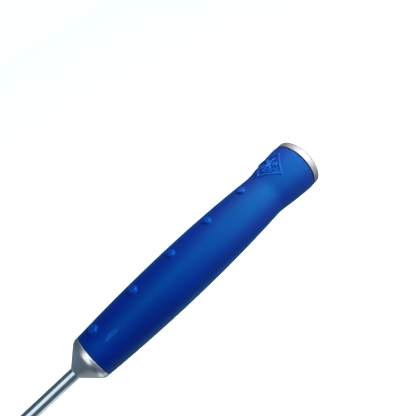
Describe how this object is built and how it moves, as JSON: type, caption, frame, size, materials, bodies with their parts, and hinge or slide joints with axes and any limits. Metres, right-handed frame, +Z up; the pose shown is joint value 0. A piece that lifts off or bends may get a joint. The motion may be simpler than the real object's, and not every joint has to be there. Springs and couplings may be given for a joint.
{
  "type": "tool handle",
  "caption": "Straight soft-grip handle with finger nubs, flared end, metal cap and cone ferrule on a thin round shank with a threaded stud.",
  "frame": {"origin": "centre of the shank's shoulder, where a screwed-on tool head seats", "axes": "+X along the handle towards the end cap, +Z up through the row of nubs"},
  "size_m": [0.2782, 0.0298, 0.0303],
  "materials": {
    "shank_steel": "bright polished round bar",
    "ferrule_aluminium": "satin, turned",
    "cap_aluminium": "satin, turned",
    "tube_aluminium": "mill finish, drawn",
    "sleeve_silicone": "satin moulded silicone, blue",
    "seal_rubber": "matt black",
    "carrier_nylon": "moulded, glass-filled",
    "bush_nylon": "turned natural nylon",
    "bush_brass": "turned",
    "zinc_steel": "zinc plated",
    "spring_steel": "phosphated"
  },
  "bodies": {
    "root": {"shank_rod": "shank_steel", "nose_ferrule": "ferrule_aluminium", "shank_seal": "seal_rubber", "cross_pin": "zinc_steel", "core_tube": "tube_aluminium", "grip_carrier": "carrier_nylon", "grip_sleeve": "sleeve_silicone", "centre_bush": "bush_nylon", "rear_bush": "bush_brass", "flat_washer": "zinc_steel", "spring_washer": "spring_steel", "clamp_nut": "zinc_steel", "cap_gasket": "seal_rubber", "end_cap": "cap_aluminium", "cap_o_ring": "seal_rubber"}
  },
  "joints": []
}
